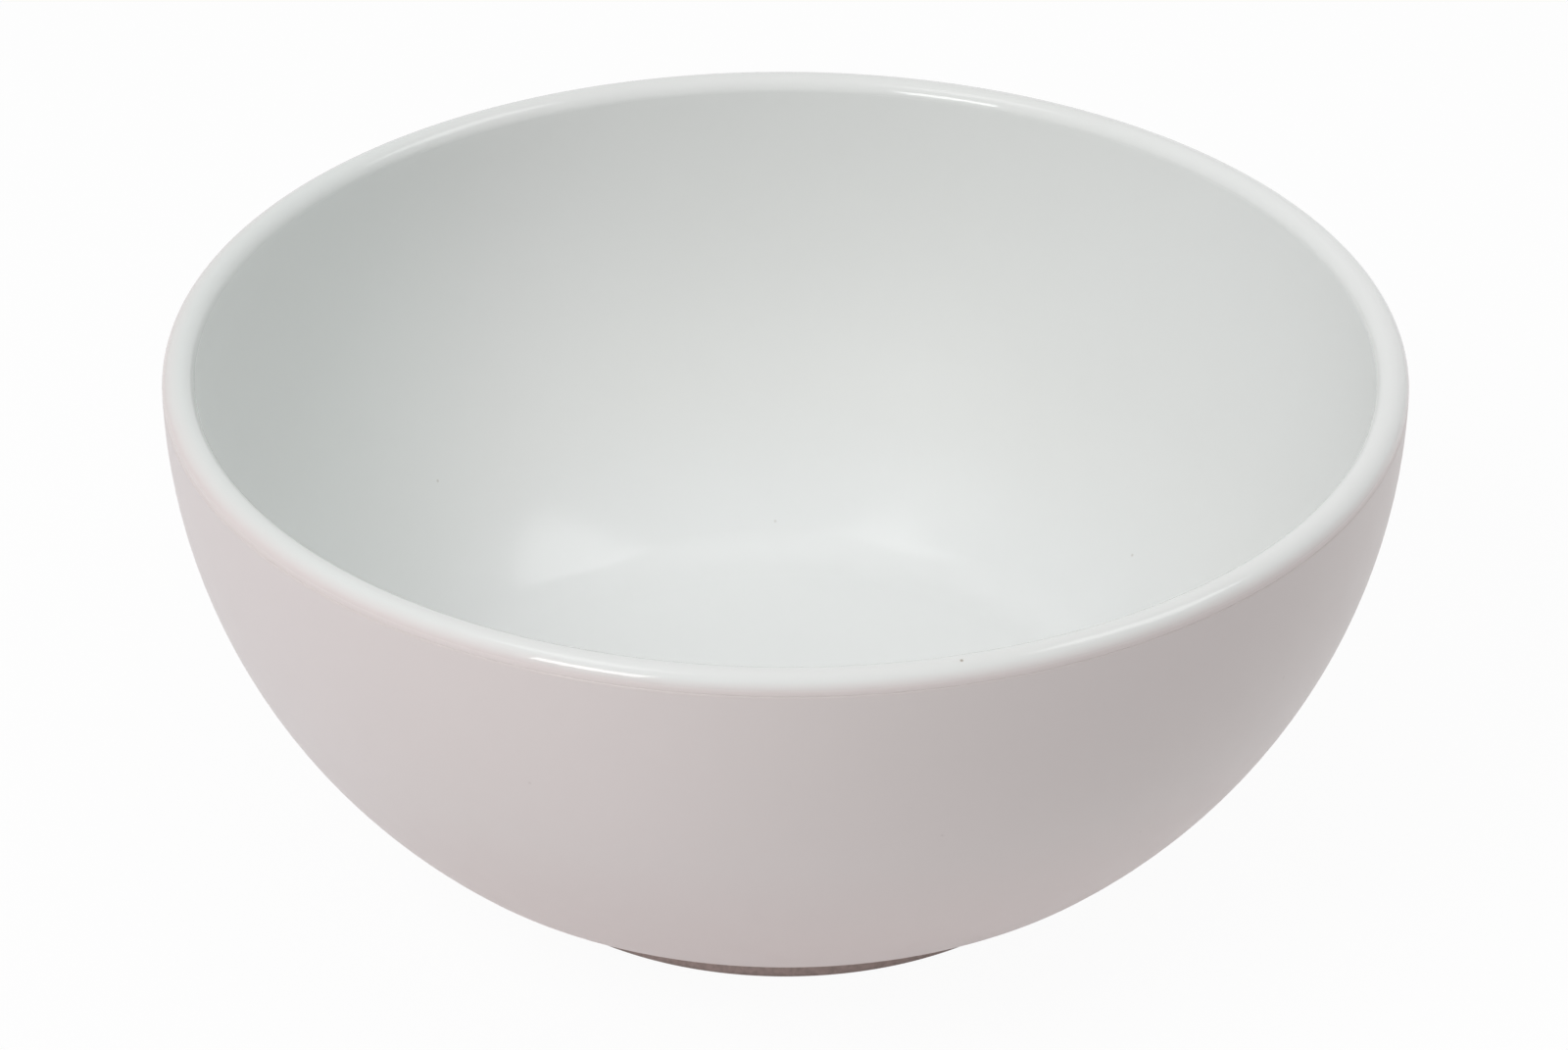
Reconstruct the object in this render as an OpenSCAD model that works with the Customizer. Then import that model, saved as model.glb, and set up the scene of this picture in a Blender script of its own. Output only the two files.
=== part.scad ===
/* [Bowl] */
// Outside diameter at the widest, just below the lip
rim_d = 140; // [125:1:155]
// Height from the table to the top of the lip
bowl_h = 61; // [53:1:72]
// Thickness of the wall at the top, where it ends in a full round lip
wall_t = 3.7; // [3:0.1:4.1]
// Thickness of the wall low down, before it turns into the floor
low_wall_t = 4.8; // [4.2:0.1:5.6]
// Diameter where the wall turns under towards the foot
heel_d = 95.6; // [86:0.2:104]
// Height above the table where the wall turns under
heel_h = 9.3; // [7.8:0.1:11.5]
// Radius that softens the turn under the wall
heel_r = 8; // [4:0.5:12]

/* [Floor] */
// Thickness of the floor, from the recess to the inside
floor_t = 4.1; // [3:0.1:6.5]
// Radius between the wall and the flat floor, on the inside
well_r = 11; // [8:0.5:15]

/* [Foot] */
// Outside diameter of the foot ring
foot_d = 73.4; // [63:0.2:81]
// Width of the foot ring
foot_w = 4; // [3.6:0.1:6]
// Height of the foot ring, up to the underside of the wall
foot_h = 5; // [4:0.1:6.5]
// Rounding of the bare edges that the bowl stands on
foot_edge_r = 0.6; // [0.4:0.1:1.4]
// Fillet where glaze gathers in the corners at the foot ring
foot_fillet_r = 2; // [0.8:0.1:2.5]

/* [Glaze] */
// Thickness of each coat of glaze
glaze_t = 0.25; // [0.15:0.05:0.4]
// How far the inside glaze comes down over the lip, on the outside
rim_band_h = 2.2; // [2.1:0.1:8]
// Height of the bare clay at the bottom of the foot ring
bare_h = 1.8; // [1:0.1:2]

/* [Hidden] */

// Each turn about the axis is a true circle, and the arcs of the section turn by this many degrees a step
$fn = 192;
arc_step = 3;

// The low thickness of the wall is the one this many degrees down the side
low_angle = 45;

// Colours of the bare clay, the two glazes and the recess
clay_colour = [0.78, 0.74, 0.71];
inner_colour = [0.86, 0.88, 0.86];
outer_colour = [0.84, 0.81, 0.80];
base_colour = [0.83, 0.82, 0.81];

function unit(v) = v / norm(v);
function polar(angle) = [cos(angle), sin(angle)];
function angle_of(v) = atan2(v.y, v.x);
function reversed(points) = [for (i = [len(points) - 1:-1:0]) points[i]];

// The points along an arc. Its first is left out, because it ends what comes before
function arc(centre, radius, from, to) =
    let (steps = ceil(abs(to - from) / arc_step))
    [for (i = [1:steps]) centre + radius * polar(from + (to - from) * i / steps)];

// Everything below is half of the section through the axis, as [radius, height]
rim_r = rim_d / 2;
foot_r = foot_d / 2;
foot_in_r = foot_r - foot_w;

// The lip is a full round on top of the wall
lip_r = wall_t / 2;
lip_c = [rim_r - lip_r, bowl_h - lip_r];

// The outside of the wall is one arc, upright at the lip, that passes through the heel
heel = [heel_d / 2, heel_h];
turn_in = rim_r - heel.x;
drop = lip_c.y - heel.y;
side_r = (turn_in * turn_in + drop * drop) / (2 * turn_in);
side_c = [rim_r - side_r, lip_c.y];

// The underside is a shallow cone from the top of the foot ring towards the heel
foot_top = [foot_r, foot_h];
under_u = unit(heel - foot_top);
under_n = [-under_u.y, under_u.x];

// The heel is an arc that touches both the underside and the side
heel_from_top = foot_top + under_n * heel_r - side_c;
heel_along = under_u * heel_from_top;
heel_gap = side_r - heel_r;
heel_run = sqrt(heel_along * heel_along - heel_from_top * heel_from_top + heel_gap * heel_gap)
    - heel_along;
heel_c = foot_top + under_n * heel_r + under_u * heel_run;
heel_low = angle_of(-under_n);
heel_high = angle_of(heel_c - side_c);

// Where the underside and the outer face of the foot ring meet, moved into the clay by an inset
function foot_corner(inset) = foot_top + (under_n - under_u * ((1 + under_n.x) / under_u.x)) * inset;

// The clay of the foot ring meets the clay of the body on this level, and the floor lies above it
joint_z = foot_corner(glaze_t).y;
recess_z = joint_z - glaze_t;
floor_z = recess_z + floor_t;

// The inside of the wall is an arc too. Its centre lies higher, so the wall grows thicker downwards
inner_c = side_c + [0, (low_wall_t - wall_t) / sin(low_angle)];
inner_r = norm(lip_c - inner_c) - lip_r;
lip_end = angle_of(lip_c - inner_c);

// Below, the inside turns in an arc on to the flat floor
well_gap = inner_r - well_r;
well_drop = inner_c.y - floor_z - well_r;
well_c = [inner_c.x + sqrt(well_gap * well_gap - well_drop * well_drop), floor_z + well_r];
well_high = angle_of(well_c - inner_c);

// The outside glaze ends at this angle of the side's arc, below the lip
function line_angle(inset) = asin((bowl_h - rim_band_h - side_c.y) / (side_r - inset));

// Stretches of the section, each moved into the clay by an inset
function turn_under(inset) = concat(
    [heel_c + polar(heel_low) * (heel_r - inset)],
    arc(heel_c, heel_r - inset, heel_low, heel_high)
);
function side(inset) = arc(side_c, side_r - inset, heel_high, line_angle(inset));
function rim_band(inset) = arc(side_c, side_r - inset, line_angle(inset), 0);
function lip(inset) = arc(lip_c, lip_r - inset, 0, 180 + lip_end);
function inside(inset) = concat(
    arc(inner_c, inner_r + inset, lip_end, well_high),
    arc(well_c, well_r + inset, well_high, -90),
    [[0, floor_z - inset]]
);

// From the glaze line over the lip and down to the middle of the floor
function over_the_lip(inset) = concat(
    [side_c + polar(line_angle(inset)) * (side_r - inset)],
    rim_band(inset), lip(inset), inside(inset)
);

// Glaze gathers in fillets on both sides of the foot ring
outer_fillet_c = foot_top + foot_fillet_r * [1, (under_u.y - 1) / under_u.x];
inner_fillet_c = [foot_in_r - foot_fillet_r, recess_z - foot_fillet_r];

// The clay body: wall, flat floor and lip in one
module porcelain_body() {
    color(clay_colour) rotate_extrude() polygon(concat(
        [[0, joint_z], foot_corner(glaze_t)],
        turn_under(glaze_t), side(glaze_t), rim_band(glaze_t), lip(glaze_t), inside(glaze_t)
    ));
}

// The ring of clay that the bowl stands on, with rounded lower edges
module foot_ring() {
    low = foot_in_r + glaze_t;
    high = foot_r - glaze_t;
    color(clay_colour) rotate_extrude() polygon(concat(
        [[high - foot_edge_r, 0]],
        arc([high - foot_edge_r, foot_edge_r], foot_edge_r, -90, 0),
        [[high, joint_z], [low, joint_z], [low, foot_edge_r]],
        arc([low + foot_edge_r, foot_edge_r], foot_edge_r, 180, 270)
    ));
}

// The coat inside, over the lip and a little way down the outside
module inner_glaze() {
    color(inner_colour) rotate_extrude() polygon(concat(
        over_the_lip(0), reversed(over_the_lip(glaze_t))
    ));
}

// The coat on the outside, from the glaze line down to the bare clay of the foot ring
module outer_glaze() {
    outer_face = concat(
        [[foot_r, bare_h], [foot_r, outer_fillet_c.y]],
        arc(outer_fillet_c, foot_fillet_r, 180, angle_of(under_n)),
        turn_under(0), side(0)
    );
    clay_face = concat(
        [[foot_r - glaze_t, bare_h], foot_corner(glaze_t)], turn_under(glaze_t), side(glaze_t)
    );
    color(outer_colour) rotate_extrude() polygon(concat(outer_face, reversed(clay_face)));
}

// The coat in the recess inside the foot ring
module base_glaze() {
    clay_r = foot_in_r + glaze_t;
    color(base_colour) rotate_extrude() polygon(concat(
        [[clay_r, bare_h], [clay_r, joint_z], [0, joint_z], [0, recess_z], [inner_fillet_c.x, recess_z]],
        arc(inner_fillet_c, foot_fillet_r, 90, 0),
        [[foot_in_r, bare_h]]
    ));
}

porcelain_body();
foot_ring();
inner_glaze();
outer_glaze();
base_glaze();
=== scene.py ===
import math

import bpy
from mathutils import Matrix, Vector


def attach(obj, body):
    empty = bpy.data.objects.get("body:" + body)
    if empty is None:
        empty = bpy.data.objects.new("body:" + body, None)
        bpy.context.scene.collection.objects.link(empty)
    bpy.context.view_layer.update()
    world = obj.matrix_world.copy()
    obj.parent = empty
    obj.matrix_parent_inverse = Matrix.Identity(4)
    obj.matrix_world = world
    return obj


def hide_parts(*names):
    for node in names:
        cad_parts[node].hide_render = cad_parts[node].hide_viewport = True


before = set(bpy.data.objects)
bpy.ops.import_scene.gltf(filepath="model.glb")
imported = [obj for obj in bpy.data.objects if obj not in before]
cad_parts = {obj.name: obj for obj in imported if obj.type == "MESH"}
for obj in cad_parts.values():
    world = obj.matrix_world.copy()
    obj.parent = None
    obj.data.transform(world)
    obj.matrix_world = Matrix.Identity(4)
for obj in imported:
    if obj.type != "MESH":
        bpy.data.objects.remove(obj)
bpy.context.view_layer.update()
print("frame loaded:", ", ".join(sorted(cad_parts)))

scene = bpy.context.scene
scene.view_settings.view_transform = "Standard"
mm = 0.001

# The camera looks down at the bowl from 0.73 m away
view = {
    "place": (0.0, -0.6108, 0.4029),
    "lookDown": 30.88,          # degrees below level
    "roll": 0.19,               # degrees askew
    "lens": 142.84,             # mm
    "sensor": 36.0,             # mm wide
    "shift": -0.00066,          # of the picture's width
    "clip": (0.01, 30.0),
}

lens = bpy.data.cameras.new("camera")
lens.lens = view["lens"]
lens.sensor_width = view["sensor"]
lens.shift_x = view["shift"]
lens.clip_start, lens.clip_end = view["clip"]
camera = bpy.data.objects.new("camera", lens)
camera.location = view["place"]
camera.rotation_euler = (math.radians(90.0 - view["lookDown"]), 0.0, 0.0)
camera.rotation_euler.rotate_axis("Z", math.radians(view["roll"]))
scene.collection.objects.link(camera)
scene.camera = camera
print("camera placed")


# The bowl's sizes in mm, as the solids have them
bowl = {
    "width": 140.0,             # at the widest, just below the lip
    "height": 61.0,
    "wall": 3.7,                # at the lip, which is a full round
    "lowWall": 4.8,             # low down the side
    "lowAngle": 45.0,           # degrees down the side, where the wall has its low thickness
    "heelWidth": 95.6,          # where the wall turns under
    "heelHeight": 9.3,
    "heelRadius": 8.0,
    "floor": 4.1,
    "wellRadius": 11.0,         # between the inside of the wall and the floor
    "footWidth": 73.4,
    "footWall": 4.0,
    "footHeight": 5.0,
    "footEdge": 0.6,            # rounding of the bare edges
    "footFillet": 2.0,
    "glaze": 0.25,              # thickness of each coat
    "rimBand": 2.2,             # how far the inside coat comes down over the lip
    "bare": 1.8,                # bare clay at the bottom of the foot ring
}

# How the pieces are turned, in mm and degrees
turning = {
    "steps": 256,               # round the axis
    "slim": 0.9996,             # keeps the turned coats inside the solids' faceted outline
    "coatEdge": 0.16,           # rounding where a coat ends
    "groove": 0.07,             # depth of the line between the two coats
    "merge": 0.002,             # points closer together than this become one
    "smoothBelow": 50.0,        # edges that turn by less are shaded smooth
    "wallStep": 2.0,            # the arcs of the section go in steps of this many degrees
    "lipStep": 5.0,
    "filletStep": 7.0,
    "clayEdgeStep": 10.0,
    "coatEdgeStep": 30.0,
}


def degreesOf(direction):
    return math.degrees(math.atan2(direction[1], direction[0]))


# Half of the section through the axis, in mm, as (distance from the axis, height)
rim = bowl["width"] / 2
foot = bowl["footWidth"] / 2
footInside = foot - bowl["footWall"]
line = bowl["height"] - bowl["rimBand"]
lipRadius = bowl["wall"] / 2
lipCentre = Vector((rim - lipRadius, bowl["height"] - lipRadius))

# The outside of the wall is one arc, upright at the lip, that passes through the heel
heel = Vector((bowl["heelWidth"] / 2, bowl["heelHeight"]))
turnIn = rim - heel.x
drop = lipCentre.y - heel.y
sideRadius = (turnIn ** 2 + drop ** 2) / (2 * turnIn)
sideCentre = Vector((rim - sideRadius, lipCentre.y))

# A shallow cone goes from the foot ring towards the heel, and an arc joins it to the side
footTop = Vector((foot, bowl["footHeight"]))
under = (heel - footTop).normalized()
intoClay = Vector((-under.y, under.x))
heelFrom = footTop + intoClay * bowl["heelRadius"]
along = (heelFrom - sideCentre).dot(under)
heelGap = sideRadius - bowl["heelRadius"]
heelRun = math.sqrt(along ** 2 - (heelFrom - sideCentre).length_squared + heelGap ** 2) - along
heelCentre = heelFrom + under * heelRun
heelStart = degreesOf(-intoClay)
heelEnd = degreesOf(heelCentre - sideCentre)

# The foot ring meets the body at the joint, and the floor lies above it
cornerRise = (intoClay.y - under.y * (1 + intoClay.x) / under.x) * bowl["glaze"]
jointHeight = bowl["footHeight"] + cornerRise
recessHeight = jointHeight - bowl["glaze"]
floorHeight = recessHeight + bowl["floor"]

# The inside of the wall is an arc too, and turns in a smaller one on to the flat floor
thickening = (bowl["lowWall"] - bowl["wall"]) / math.sin(math.radians(bowl["lowAngle"]))
innerCentre = sideCentre + Vector((0, thickening))
innerRadius = (lipCentre - innerCentre).length - lipRadius
lipEnd = degreesOf(lipCentre - innerCentre)
wellGap = innerRadius - bowl["wellRadius"]
wellDrop = innerCentre.y - floorHeight - bowl["wellRadius"]
wellCentre = Vector((innerCentre.x + math.sqrt(wellGap ** 2 - wellDrop ** 2),
                     floorHeight + bowl["wellRadius"]))
wellStart = degreesOf(wellCentre - innerCentre)
print("section worked out: floor at", round(floorHeight, 2), "mm, foot joined at",
      round(jointHeight, 2), "mm")


def arc(centre, radius, start, end, step=turning["wallStep"]):
    count = max(2, math.ceil(abs(end - start) / step))
    angles = [math.radians(start + (end - start) * i / count) for i in range(count + 1)]
    return [(centre[0] + radius * math.cos(a), centre[1] + radius * math.sin(a)) for a in angles]


def sideAngle(height, inset):
    # the angle at which the side's arc reaches a height
    return math.degrees(math.asin((height - sideCentre.y) / (sideRadius - inset)))


def underAndSide(inset, top):
    # the turn under the wall and the wall itself, up to a height
    turn = arc(heelCentre, bowl["heelRadius"] - inset, heelStart, heelEnd)
    side = arc(sideCentre, sideRadius - inset, heelEnd, sideAngle(top, inset))
    return turn + side[1:]


def lipAndInside(inset):
    # over the lip, down the inside and along the floor to the axis
    lip = arc(lipCentre, lipRadius - inset, 0.0, 180.0 + lipEnd, turning["lipStep"])
    wall = arc(innerCentre, innerRadius + inset, lipEnd, wellStart)
    well = arc(wellCentre, bowl["wellRadius"] + inset, wellStart, -90.0)
    shares = (0.92, 0.8, 0.65, 0.5, 0.33, 0.17, 0.05, 0.0)
    floor = [(wellCentre.x * share, floorHeight - inset) for share in shares]
    return lip + wall[1:] + well[1:] + floor


def towardsLine(way):
    # a coat rounds off into the shallow groove where the two meet, from above (1) or from below (-1)
    shares = (1.0, 0.7, 0.35, 0.0)
    return [(rim - turning["groove"] * (1.0 - math.sin(share * math.pi / 2)),
             line + way * turning["coatEdge"] * share) for share in shares]


def turned(name, section):
    # draws the section with extrusions from one point and spins it round the axis
    bpy.ops.object.select_all(action="DESELECT")
    bpy.ops.mesh.primitive_plane_add(size=mm, location=(0.0, 0.0, 0.0))
    piece = bpy.context.object
    piece.name = piece.data.name = name
    section = [(r * turning["slim"] * mm, z * mm) for r, z in section]
    bpy.ops.object.mode_set(mode="EDIT")
    bpy.ops.mesh.select_all(action="SELECT")
    bpy.ops.mesh.merge(type="CENTER")
    bpy.ops.transform.translate(value=(section[0][0], 0.0, section[0][1]))
    for before, after in zip(section, section[1:]):
        move = (after[0] - before[0], 0.0, after[1] - before[1])
        bpy.ops.mesh.extrude_region_move(TRANSFORM_OT_translate={"value": move})
    bpy.ops.mesh.select_all(action="SELECT")
    bpy.ops.mesh.spin(steps=turning["steps"], angle=math.tau, center=(0, 0, 0), axis=(0, 0, 1))
    bpy.ops.mesh.select_all(action="SELECT")
    bpy.ops.mesh.remove_doubles(threshold=turning["merge"] * mm)
    bpy.ops.mesh.select_all(action="SELECT")
    bpy.ops.mesh.normals_make_consistent(inside=False)
    bpy.ops.object.mode_set(mode="OBJECT")
    bpy.ops.object.shade_smooth_by_angle(angle=math.radians(turning["smoothBelow"]))
    return piece


def finishPiece(piece, node, material):
    piece.data.materials.clear()
    piece.data.materials.append(material)
    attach(piece, "root")
    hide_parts(node)
    print("made", piece.name, "with", len(piece.data.polygons), "faces")


def newMaterial(name):
    material = bpy.data.materials.new(name)
    material.use_nodes = True
    tree = material.node_tree
    shader = next(n for n in tree.nodes if n.type == "BSDF_PRINCIPLED")
    where = tree.nodes.new("ShaderNodeTexCoord").outputs["Object"]
    return material, tree, shader, where


def setOrLink(tree, socket, value):
    if isinstance(value, bpy.types.NodeSocket):
        tree.links.new(value, socket)
    else:
        socket.default_value = value


def add(tree, kind, values=None, **settings):
    # one node, with its settings, and its sockets either set or linked
    made = tree.nodes.new("ShaderNode" + kind)
    for name, value in settings.items():
        setattr(made, name, value)
    for socket, value in (values or {}).items():
        setOrLink(tree, made.inputs[socket], value)
    return made


def rgb(colour):
    return (*colour, 1.0)


def blendColour(tree, factor, first, second):
    # a colour is given as three numbers or as a socket
    first, second = (rgb(c) if isinstance(c, tuple) else c for c in (first, second))
    factorIn, firstIn, secondIn, colourOut = 0, 6, 7, 2
    mix = add(tree, "Mix", {factorIn: factor, firstIn: first, secondIn: second}, data_type="RGBA")
    return mix.outputs[colourOut]


def spread(tree, value, ends, toLow=0.0, toHigh=1.0, kind="LINEAR"):
    # a value between two ends becomes one between two others, and holds still beyond them
    values = {"Value": value, "From Min": ends[0], "From Max": ends[1], "To Min": toLow, "To Max": toHigh}
    return add(tree, "MapRange", values, clamp=True, interpolation_type=kind).outputs["Result"]


def spreadMm(tree, value, ends, toLow=0.0, toHigh=1.0, kind="LINEAR"):
    # the same for a place, height or distance, with its two ends in mm
    return spread(tree, value, [end * mm for end in ends], toLow, toHigh, kind)


def both(tree, operation, first, second):
    return add(tree, "Math", {0: first, 1: second}, operation=operation).outputs[0]


def noise(tree, where, scale, detail):
    return add(tree, "TexNoise", {"Vector": where, "Scale": scale, "Detail": detail}).outputs["Fac"]


def setBump(tree, shader, height, strength, depth):
    bump = add(tree, "Bump", {"Height": height, "Strength": strength, "Distance": depth * mm})
    tree.links.new(bump.outputs[0], shader.inputs["Normal"])


# What the glazes have in common, with places, heights and depths in mm. A pair says where
# something sets in and where it is full
anyGlaze = {
    "driftEnds": (0.35, 0.65),
    "side": (-34.0, -54.0),     # towards the left the tint turns to the side tint: painted shade inside, painted light outside
    "paintedSideLightShare": 0.8,
    "bandTilt": (-66.0, -12.0),  # from left to right the band on the lip sinks between these places
    "bandOutside": (67.9, 68.5),  # it shows only this far from the axis
    "bandWobble": 0.3,
    "bandWobbleScale": 60.0,
    "lip": (59.2, 59.8),        # the height at which the wall ends and the lip's finish begins
    "paintedLipLightAcross": (-62.0, 62.0),  # from left to right the lip goes from painted shade to painted light
    "speckScale": 42.0,
    "speckCells": (0.80, 0.81),  # a fifth of the cells have a speck
    "speckDepth": 0.3,
    "speckFade": (0.24, 0.1),   # distance from the middle of a speck in a known place
    "fineScale": 260.0,
    "fineEnds": (0.3, 0.7),
    "fineGloss": 0.02,          # the roughness varies by this much either way
    "ior": 1.5,
    "waveDepth": 0.1,
}


def speckDots(tree, where, look):
    # a few specks as small as pinpricks, some of them in known places
    size = look["speckSize"]
    cells = add(tree, "TexVoronoi", {"Vector": where, "Scale": look["speckScale"]})
    dots = spread(tree, cells.outputs["Distance"], (size, size / 2))
    chosen = add(tree, "SeparateColor", {0: cells.outputs["Color"]}).outputs[0]
    dots = both(tree, "MULTIPLY", dots, spread(tree, chosen, look["speckCells"], 0.0, look["speckDepth"]))
    for *place, depth in look["specksAt"]:
        away = add(tree, "VectorMath", {0: where, 1: [c * mm for c in place]}, operation="DISTANCE")
        dot = spreadMm(tree, away.outputs["Value"], look["speckFade"], 0.0, depth)
        dots = both(tree, "MAXIMUM", dots, dot)
    return dots


def bandOnLip(tree, where, apart, look):
    # the other glaze shows through in a soft band on the outside of the lip, higher on one side
    across, deep, high = (apart.outputs[i] for i in range(3))
    flat = add(tree, "CombineXYZ", {0: across, 1: deep})
    reach = add(tree, "VectorMath", {0: flat.outputs[0]}, operation="LENGTH").outputs["Value"]
    wobble = noise(tree, where, look["bandWobbleScale"], detail=1.0)
    tilt = spreadMm(tree, across, look["bandTilt"], -look["bandRise"] * mm, look["bandSink"] * mm)
    height = both(tree, "ADD", high, both(tree, "MULTIPLY", wobble, look["bandWobble"] * mm))
    height = both(tree, "ADD", height, tilt)
    outside = spreadMm(tree, reach, look["bandOutside"])
    return both(tree, "MULTIPLY", spreadMm(tree, height, look["band"]), outside)


def glazeTint(tree, where, apart, look):
    across, high = apart.outputs[0], apart.outputs[2]
    # the tint drifts slowly over the surface, as glaze does that ran and pooled, and low down it is
    # darkened as painted shade
    drift = spread(tree, noise(tree, where, look["driftScale"], detail=2.0), look["driftEnds"])
    tint = blendColour(tree, drift, look["tint"], look["driftTint"])
    tint = blendColour(tree, spreadMm(tree, high, look["low"]), tint, look["paintedLowShadeTint"])
    # towards the left: painted shade on the inside's left wall, painted light on the outside's lit left
    # side
    side = spreadMm(tree, across, look["side"], 0.0, look["paintedSideLightShare"])
    tint = blendColour(tree, side, tint, look["paintedSideLightTint"])
    tint = blendColour(tree, bandOnLip(tree, where, apart, look), tint, look["bandTint"])
    # the lip is painted a little darker on the left and lighter on the right, as painted shade and
    # painted light
    share = spreadMm(tree, across, look["paintedLipLightAcross"], look["lipPaintedShadeShare"], look["lipPaintedLightShare"])
    lipWithPaintedLight = add(tree, "VectorMath", {0: tint, 3: share}, operation="SCALE").outputs[0]
    tint = blendColour(tree, spreadMm(tree, high, look["lip"]), tint, lipWithPaintedLight)
    return blendColour(tree, speckDots(tree, where, look), tint, look["speckTint"])


def glazeMaterial(name, look):
    material, tree, shader, where = newMaterial(name)
    apart = add(tree, "SeparateXYZ", {0: where})
    high = apart.outputs[2]
    tree.links.new(glazeTint(tree, where, apart, look), shader.inputs["Base Color"])
    # glossier on the lip than on the wall, and glossier again where the glaze pooled low down
    rough = spreadMm(tree, high, look["lip"], look["roughWall"], look["roughLip"])
    fine = noise(tree, where, look["fineScale"], detail=3.0)
    uneven = spread(tree, fine, look["fineEnds"], -look["fineGloss"], look["fineGloss"])
    tree.links.new(both(tree, "ADD", rough, uneven), shader.inputs["Roughness"])
    pooled = spreadMm(tree, high, look["pool"], 0.0, look["poolGloss"], "SMOOTHSTEP")
    tree.links.new(pooled, shader.inputs["Coat Weight"])
    shader.inputs["Coat Roughness"].default_value = look["roughPool"]
    shader.inputs["IOR"].default_value = look["ior"]
    # a very shallow unevenness, like the skin of an orange
    waves = noise(tree, where, look["waveScale"], detail=2.0)
    setBump(tree, shader, waves, look["waveStrength"], look["waveDepth"])
    return material


# The cool white coat inside, over the lip and down to the glaze line
innerGlaze = {
    **anyGlaze,
    "tint": (0.791, 0.802, 0.792),
    "driftTint": (0.779, 0.789, 0.775),
    "driftScale": 18.0,
    # painted shade: darker towards the floor and the well
    "paintedLowShadeTint": (0.777, 0.792, 0.786),
    "low": (24.0, 12.0),
    # painted shade: the left inside wall, in the lamp's shadow, darker and greener
    "paintedSideLightTint": (0.766, 0.797, 0.781),
    "bandTint": (0.76, 0.69, 0.68),
    "band": (60.75, 59.65),
    "bandRise": 0.6,
    "bandSink": 0.2,
    "lipPaintedShadeShare": 0.97,           # share of the tint on the left of the lip, painted shade, and on the right, painted light
    "lipPaintedLightShare": 1.03,
    "speckSize": 0.008,
    "speckTint": (0.42, 0.38, 0.33),
    # places, each with how strongly the speck shows
    "specksAt": [(18.3, -66.1, 60.9, 1.0), (-1.2, 43.6, 12.1, 0.3), (-41.8, 34.2, 23.2, 0.4),
                 (41.6, 26.7, 17.6, 0.4)],
    "roughLip": 0.07,
    "roughWall": 0.5,
    "pool": (20.5, 13.5),
    "poolGloss": 0.75,
    "roughPool": 0.16,
    "waveScale": 140.0,
    "waveStrength": 0.15,
}

aboveLine = line + 2 * turning["coatEdge"]
innerSeen = (list(reversed(towardsLine(1)))
             + arc(sideCentre, sideRadius, sideAngle(aboveLine, 0.0), 0.0) + lipAndInside(0.0)[1:])
innerHidden = ([(rim - bowl["glaze"], line)]
               + arc(sideCentre, sideRadius - bowl["glaze"], sideAngle(aboveLine, bowl["glaze"]), 0.0)
               + lipAndInside(bowl["glaze"])[1:])
innerCoat = turned("glossy_inside_glaze", innerSeen + list(reversed(innerHidden)) + innerSeen[:1])
finishPiece(innerCoat, "inner_glaze", glazeMaterial("glossyInsideGlaze", innerGlaze))

# The warmer satin coat on the outside, from the glaze line down to the bare edge of the foot
outerGlaze = {
    **anyGlaze,
    "tint": (0.722, 0.657, 0.651),
    "driftTint": (0.707, 0.648, 0.637),
    "driftScale": 14.0,
    # painted shade: darker and pinker towards the foot, where the light bounced up from the table falls
    # off
    "paintedLowShadeTint": (0.70, 0.592, 0.58),
    "low": (34.0, 7.0),
    # painted light: the lit left side paler and less pink
    "paintedSideLightTint": (0.722, 0.660, 0.660),
    "bandTint": (0.71, 0.645, 0.632),
    "band": (58.4, 59.0),
    "bandRise": 0.0,
    "bandSink": 0.0,
    "lipPaintedShadeShare": 1.0,
    "lipPaintedLightShare": 1.0,
    "speckSize": 0.009,
    "speckTint": (0.50, 0.44, 0.42),
    "specksAt": [(38.6, -49.2, 28.5, 0.25), (16.7, -64.5, 38.1, 0.3), (54.0, -41.5, 43.4, 0.3),
                 (-26.8, -62.6, 43.3, 0.3)],
    "roughLip": 0.38,
    "roughWall": 0.38,
    "pool": (4.0, 3.0),
    "poolGloss": 0.1,
    "roughPool": 0.34,
    "waveScale": 120.0,
    "waveStrength": 0.2,
}

bare = bowl["bare"]
coatEdge = turning["coatEdge"]
fillet = bowl["footFillet"]
footFillet = footTop + fillet * Vector((1, (under.y - 1) / under.x))
belowLine = line - 2 * coatEdge
outerSeen = ([(foot - bowl["glaze"], bare)]
             + arc((foot - coatEdge, bare + coatEdge), coatEdge, -90.0, 0.0, turning["coatEdgeStep"])
             + arc(footFillet, fillet, 180.0, degreesOf(intoClay), turning["filletStep"])
             + underAndSide(0.0, belowLine) + towardsLine(-1))
outerHidden = ([(foot - bowl["glaze"], jointHeight)] + underAndSide(bowl["glaze"], belowLine)
               + [(rim - bowl["glaze"], line)])
outerCoat = turned("satin_outside_glaze", outerSeen + list(reversed(outerHidden)) + outerSeen[:1])
finishPiece(outerCoat, "outer_glaze", glazeMaterial("satinOutsideGlaze", outerGlaze))

# The coat in the recess, a little thicker in the corner of the foot ring
recessGlaze = {**outerGlaze, "driftTint": (0.65, 0.62, 0.60), "specksAt": []}
recessFillet = (footInside - fillet, recessHeight - fillet)
recessShares = (0.0, 0.07, 0.2, 0.4, 0.6, 0.8, 0.93)
recessSection = ([(recessFillet[0] * share, recessHeight) for share in recessShares]
                 + arc(recessFillet, fillet, 90.0, 0.0, turning["filletStep"])
                 + arc((footInside + coatEdge, bare + coatEdge), coatEdge, 180.0, 270.0,
                       turning["coatEdgeStep"])
                 + [(footInside + bowl["glaze"], bare), (footInside + bowl["glaze"], jointHeight),
                    (0.0, jointHeight)])
recessCoat = turned("satin_recess_glaze", recessSection)
finishPiece(recessCoat, "base_glaze", glazeMaterial("satinRecessGlaze", recessGlaze))


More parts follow.
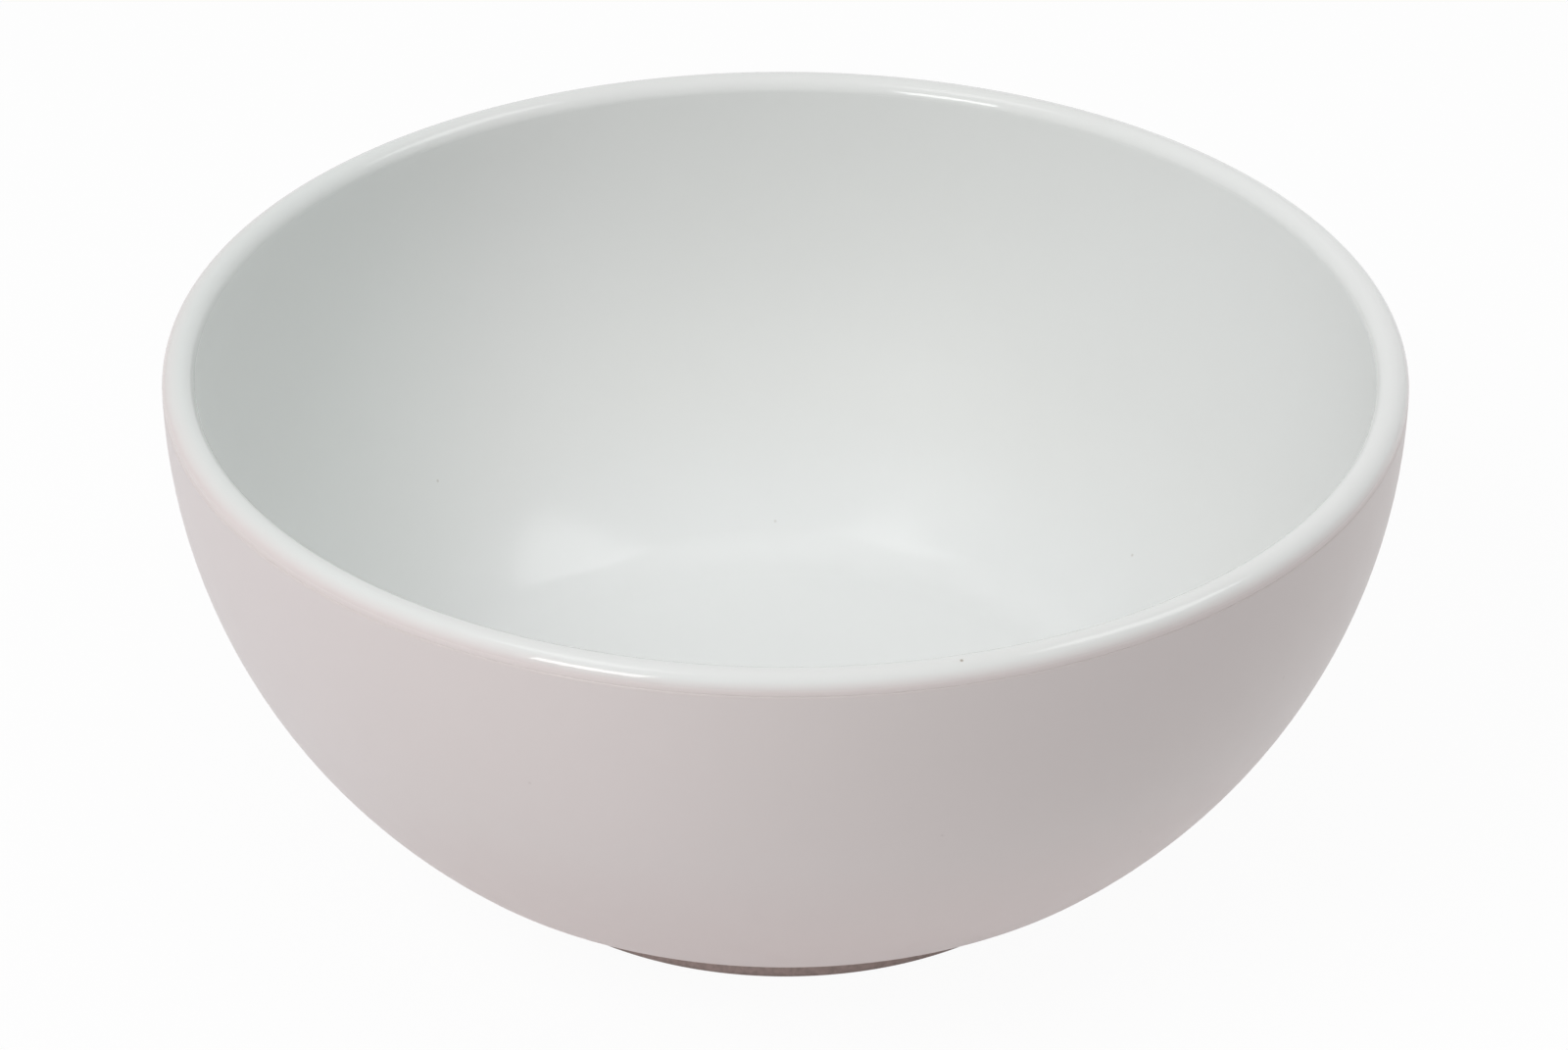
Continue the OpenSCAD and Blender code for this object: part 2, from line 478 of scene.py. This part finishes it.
# The ring of bare clay that the bowl stands on
bareClayWithPaintedShade = {
    # a warm grey-brown for the bare clay, made darker than the body's clay as painted shade of the foot
    # under the bowl
    "tint": (0.595, 0.472, 0.443),
    "grainTint": (0.455, 0.36, 0.335),
    "grainScale": 1400.0,
    "grainEnds": (0.4, 0.7),
    "edgeTint": (0.365, 0.295, 0.27),  # where it rubs on the table
    "edge": (0.7, 0.0),         # mm above the table
    "patchScale": 90.0,
    "patchEnds": (0.35, 0.65),
    "roughEnds": (0.3, 0.7),
    "smoothest": 0.62,
    "roughest": 0.8,
    "bumpStrength": 0.5,
    "bumpDepth": 0.05,          # mm
}


def clayMaterial(name, look):
    material, tree, shader, where = newMaterial(name)
    grain = noise(tree, where, look["grainScale"], detail=4.0)
    tint = blendColour(tree, spread(tree, grain, look["grainEnds"]), look["tint"], look["grainTint"])
    # the edge is darker in patches
    low = spreadMm(tree, add(tree, "SeparateXYZ", {0: where}).outputs[2], look["edge"])
    patches = spread(tree, noise(tree, where, look["patchScale"], detail=2.0), look["patchEnds"])
    tint = blendColour(tree, both(tree, "MULTIPLY", low, patches), tint, look["edgeTint"])
    tree.links.new(tint, shader.inputs["Base Color"])
    rough = spread(tree, grain, look["roughEnds"], look["smoothest"], look["roughest"])
    tree.links.new(rough, shader.inputs["Roughness"])
    setBump(tree, shader, grain, look["bumpStrength"], look["bumpDepth"])
    return material


clayEdge = bowl["footEdge"]
outerFace = foot - bowl["glaze"]
innerFace = footInside + bowl["glaze"]
ringSection = (arc((outerFace - clayEdge, clayEdge), clayEdge, -90.0, 0.0, turning["clayEdgeStep"])
               + [(outerFace, jointHeight), (innerFace, jointHeight)]
               + arc((innerFace + clayEdge, clayEdge), clayEdge, 180.0, 270.0, turning["clayEdgeStep"])
               + [(outerFace - clayEdge, 0.0)])
clayRing = turned("bare_clay_foot", ringSection)
finishPiece(clayRing, "foot_ring", clayMaterial("bareClayWithPaintedShade", bareClayWithPaintedShade))

# The clay body keeps its solid: it lies under the coats
bodyClay = {**bareClayWithPaintedShade, "tint": (0.78, 0.74, 0.71), "grainTint": (0.74, 0.70, 0.67),
            "edgeTint": (0.72, 0.68, 0.65)}
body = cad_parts["porcelain_body"]
bodyMaterial = clayMaterial("bodyClay", bodyClay)
if not body.material_slots:
    body.data.materials.append(bodyMaterial)
for held in body.material_slots:
    held.material = bodyMaterial
print("body has", len(body.material_slots), "material slot(s)")


# A pale table, white to the camera, that keeps the bowl's soft shadow
table = {
    "size": 6.0,                # m
    "height": -0.05,            # mm, just below the seat
    "tint": (0.84, 0.84, 0.84),
    "rough": 0.9,
    "white": 0.95,              # share of plain white in what the camera sees
    "whiteMirrored": 0.75,      # and in what the glaze mirrors
}
bpy.ops.object.select_all(action="DESELECT")
bpy.ops.mesh.primitive_plane_add(size=table["size"], location=(0.0, 0.0, table["height"] * mm))
tableTop = bpy.context.object
tableTop.name = "table_top"
material, tree, shader, _ = newMaterial("paleTable")
shader.inputs["Base Color"].default_value = rgb(table["tint"])
shader.inputs["Roughness"].default_value = table["rough"]
paths = add(tree, "LightPath")
mirrored = both(tree, "MAXIMUM", paths.outputs["Is Glossy Ray"], paths.outputs["Is Transmission Ray"])
white = both(tree, "MAXIMUM", both(tree, "MULTIPLY", paths.outputs["Is Camera Ray"], table["white"]),
             both(tree, "MULTIPLY", mirrored, table["whiteMirrored"]))
glow = add(tree, "Emission", {"Color": (1.0, 1.0, 1.0, 1.0), "Strength": 1.0})
mix = add(tree, "MixShader", {0: white, 1: shader.outputs[0], 2: glow.outputs[0]})
tree.links.new(mix.outputs[0], next(n for n in tree.nodes if n.type == "OUTPUT_MATERIAL").inputs[0])
tableTop.data.materials.append(material)

# Soft studio light: a large lamp at the front left, one at the upper right, weaker ones elsewhere
# and an even surround. Most lamps only light the bowl (diffuse) or are only mirrored in it (glossy)
lamps = {
    "frontLeft": {"towards": (-0.50, -0.45, 0.74), "size": (0.60, 0.40), "radiance": 5.1,
                  "shows": "diffuse"},
    "rightStrip": {"towards": (0.572, 0.040, 0.819), "size": (0.34, 0.44), "radiance": 2.28,
                   "shows": "both"},
    "above": {"towards": (0.0, 0.0, 1.0), "size": (0.60, 0.60), "radiance": 1.8,
              "shows": "diffuse"},
    "lowLeft": {"towards": (-0.70, -0.70, 0.15), "size": (0.50, 0.20), "radiance": 2.2,
                "shows": "diffuse"},
    "lowRight": {"towards": (0.80, 0.60, 0.12), "size": (0.50, 0.25), "radiance": 2.1,
                 "shows": "diffuse"},
    "glintLeft": {"towards": (-0.49, -0.73, 0.48), "size": (0.32, 0.28), "radiance": 6.6,
                  "shows": "glossy"},
    "glintAbove": {"towards": (-0.33, -0.12, 0.94), "size": (0.40, 0.26), "radiance": 1.6,
                   "shows": "glossy"},
}
surround = 0.35

# The lamps hang 1 m from this point in the bowl and face it
lampsAim = Vector((0.0, 0.0, 0.04))

for name, lamp in lamps.items():
    light = bpy.data.lights.new(name, "AREA")
    light.shape = "RECTANGLE"
    light.size, light.size_y = lamp["size"]
    light.energy = lamp["radiance"] * math.pi * light.size * light.size_y
    holder = bpy.data.objects.new(name, light)
    away = Vector(lamp["towards"]).normalized()
    holder.location = away + lampsAim
    holder.rotation_euler = away.to_track_quat("Z", "Y").to_euler()
    holder.visible_glossy = lamp["shows"] != "diffuse"
    holder.visible_diffuse = lamp["shows"] != "glossy"
    scene.collection.objects.link(holder)

# The surround is white to the camera and in reflections, and lights less than it shows
world = bpy.data.worlds.new("studio")
scene.world = world
world.use_nodes = True
tree = world.node_tree
background = next(n for n in tree.nodes if n.type == "BACKGROUND")
paths = add(tree, "LightPath")
seen = both(tree, "MAXIMUM", paths.outputs["Is Camera Ray"],
            both(tree, "MAXIMUM", paths.outputs["Is Glossy Ray"], paths.outputs["Is Transmission Ray"]))
tree.links.new(spread(tree, seen, (0.0, 1.0), surround, 1.0), background.inputs["Strength"])
background.inputs["Color"].default_value = (1.0, 1.0, 1.0, 1.0)
print("table and light set")
